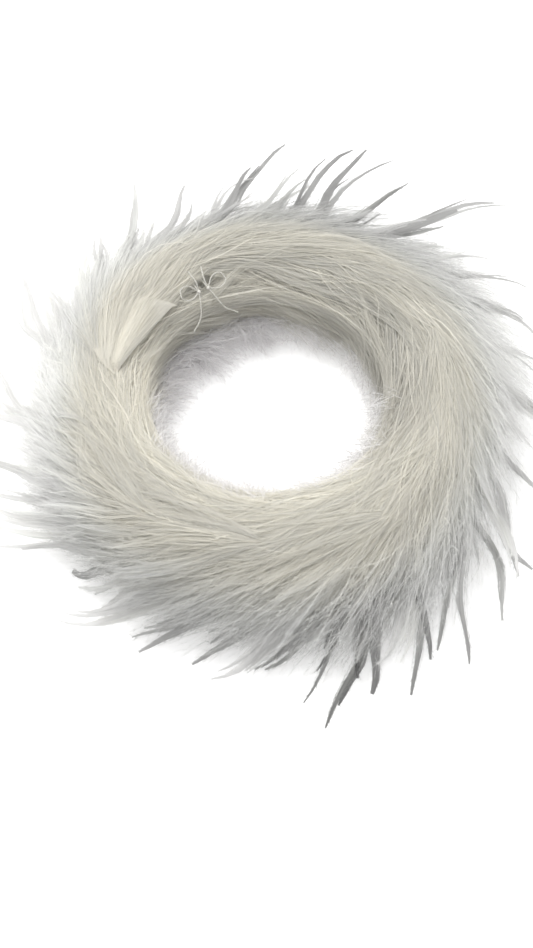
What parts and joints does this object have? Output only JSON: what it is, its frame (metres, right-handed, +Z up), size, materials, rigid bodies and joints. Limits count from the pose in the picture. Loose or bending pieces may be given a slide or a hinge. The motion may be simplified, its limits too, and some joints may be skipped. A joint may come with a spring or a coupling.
{
  "type": "feather boa",
  "caption": "Short ostrich-feather boa tied end to end into a fluffy ring, plumes swept clockwise and outwards; the cord uncurls to a straight boa.",
  "frame": {"origin": "on the ring's axis, at the table it rests on, under the middle of the outline", "axes": "+Z up along the ring's axis, +X right and +Y away from someone in front of it. The two ends meet on the ring at 120 degrees anticlockwise from +X, seen from above"},
  "size_m": [0.3136, 0.3136, 0.0488],
  "materials": {
    "feather": "matte",
    "quill": "satin",
    "cord": "matte",
    "thread": "matte",
    "cap_metal": "satin"
  },
  "bodies": {
    "segment_01": {"cord_01": "cord", "plume_01": "feather", "quill_01": "quill", "binding_01": "thread", "end_cap_start": "cap_metal"},
    "segment_02": {"cord_02": "cord", "plume_02": "feather", "quill_02": "quill", "binding_02": "thread"},
    "segment_03": {"cord_03": "cord", "plume_03": "feather", "quill_03": "quill", "binding_03": "thread"},
    "segment_04": {"cord_04": "cord", "plume_04": "feather", "quill_04": "quill", "binding_04": "thread"},
    "segment_05": {"cord_05": "cord", "plume_05": "feather", "quill_05": "quill", "binding_05": "thread"},
    "segment_06": {"cord_06": "cord", "plume_06": "feather", "quill_06": "quill", "binding_06": "thread"},
    "segment_07": {"cord_07": "cord", "plume_07": "feather", "quill_07": "quill", "binding_07": "thread"},
    "segment_08": {"cord_08": "cord", "plume_08": "feather", "quill_08": "quill", "binding_08": "thread"},
    "segment_09": {"cord_09": "cord", "plume_09": "feather", "quill_09": "quill", "binding_09": "thread"},
    "segment_10": {"cord_10": "cord", "plume_10": "feather", "quill_10": "quill", "binding_10": "thread"},
    "segment_11": {"cord_11": "cord", "plume_11": "feather", "quill_11": "quill", "binding_11": "thread"},
    "segment_12": {"cord_12": "cord", "plume_12": "feather", "quill_12": "quill", "binding_12": "thread", "end_cap_finish": "cap_metal"},
    "string_start": {"tie_string_start": "thread"},
    "string_finish": {"tie_string_finish": "thread"}
  },
  "joints": [
    {"name": "uncurl", "type": "hinge", "parent": "segment_07", "child": "segment_08", "pos_m": [0, -0.08, 0.02], "axis": [0, 0, 1], "range_deg": [0, 30]},
    {"name": "flex_08_09", "type": "hinge", "parent": "segment_08", "child": "segment_09", "pos_m": [-0.04, -0.06928, 0.02], "axis": [0, 0, 1], "range_deg": [0, 30]},
    {"name": "flex_09_10", "type": "hinge", "parent": "segment_09", "child": "segment_10", "pos_m": [-0.06928, -0.04, 0.02], "axis": [0, 0, 1], "range_deg": [0, 30]},
    {"name": "flex_10_11", "type": "hinge", "parent": "segment_10", "child": "segment_11", "pos_m": [-0.08, 0, 0.02], "axis": [0, 0, 1], "range_deg": [0, 30]},
    {"name": "flex_11_12", "type": "hinge", "parent": "segment_11", "child": "segment_12", "pos_m": [-0.06928, 0.04, 0.02], "axis": [0, 0, 1], "range_deg": [0, 30]},
    {"name": "flex_07_06", "type": "hinge", "parent": "segment_07", "child": "segment_06", "pos_m": [0.04, -0.06928, 0.02], "axis": [0, 0, -1], "range_deg": [0, 30]},
    {"name": "flex_06_05", "type": "hinge", "parent": "segment_06", "child": "segment_05", "pos_m": [0.06928, -0.04, 0.02], "axis": [0, 0, -1], "range_deg": [0, 30]},
    {"name": "flex_05_04", "type": "hinge", "parent": "segment_05", "child": "segment_04", "pos_m": [0.08, 0, 0.02], "axis": [0, 0, -1], "range_deg": [0, 30]},
    {"name": "flex_04_03", "type": "hinge", "parent": "segment_04", "child": "segment_03", "pos_m": [0.06928, 0.04, 0.02], "axis": [0, 0, -1], "range_deg": [0, 30]},
    {"name": "flex_03_02", "type": "hinge", "parent": "segment_03", "child": "segment_02", "pos_m": [0.04, 0.06928, 0.02], "axis": [0, 0, -1], "range_deg": [0, 30]},
    {"name": "flex_02_01", "type": "hinge", "parent": "segment_02", "child": "segment_01", "pos_m": [0, 0.08, 0.02], "axis": [0, 0, -1], "range_deg": [0, 30]},
    {"name": "swing_string_start", "type": "hinge", "parent": "segment_01", "child": "string_start", "pos_m": [-0.04, 0.06928, 0.02], "axis": [0.866, 0.5, 0], "range_deg": [-25, 20]},
    {"name": "swing_string_finish", "type": "hinge", "parent": "segment_12", "child": "string_finish", "pos_m": [-0.04, 0.06928, 0.02], "axis": [0.866, 0.5, 0], "range_deg": [-25, 20]}
  ],
  "couplings": [
    {"joint": "flex_08_09", "follows": "uncurl", "ratio": 1},
    {"joint": "flex_09_10", "follows": "uncurl", "ratio": 1},
    {"joint": "flex_10_11", "follows": "uncurl", "ratio": 1},
    {"joint": "flex_11_12", "follows": "uncurl", "ratio": 1},
    {"joint": "flex_07_06", "follows": "uncurl", "ratio": 1},
    {"joint": "flex_06_05", "follows": "uncurl", "ratio": 1},
    {"joint": "flex_05_04", "follows": "uncurl", "ratio": 1},
    {"joint": "flex_04_03", "follows": "uncurl", "ratio": 1},
    {"joint": "flex_03_02", "follows": "uncurl", "ratio": 1},
    {"joint": "flex_02_01", "follows": "uncurl", "ratio": 1}
  ]
}
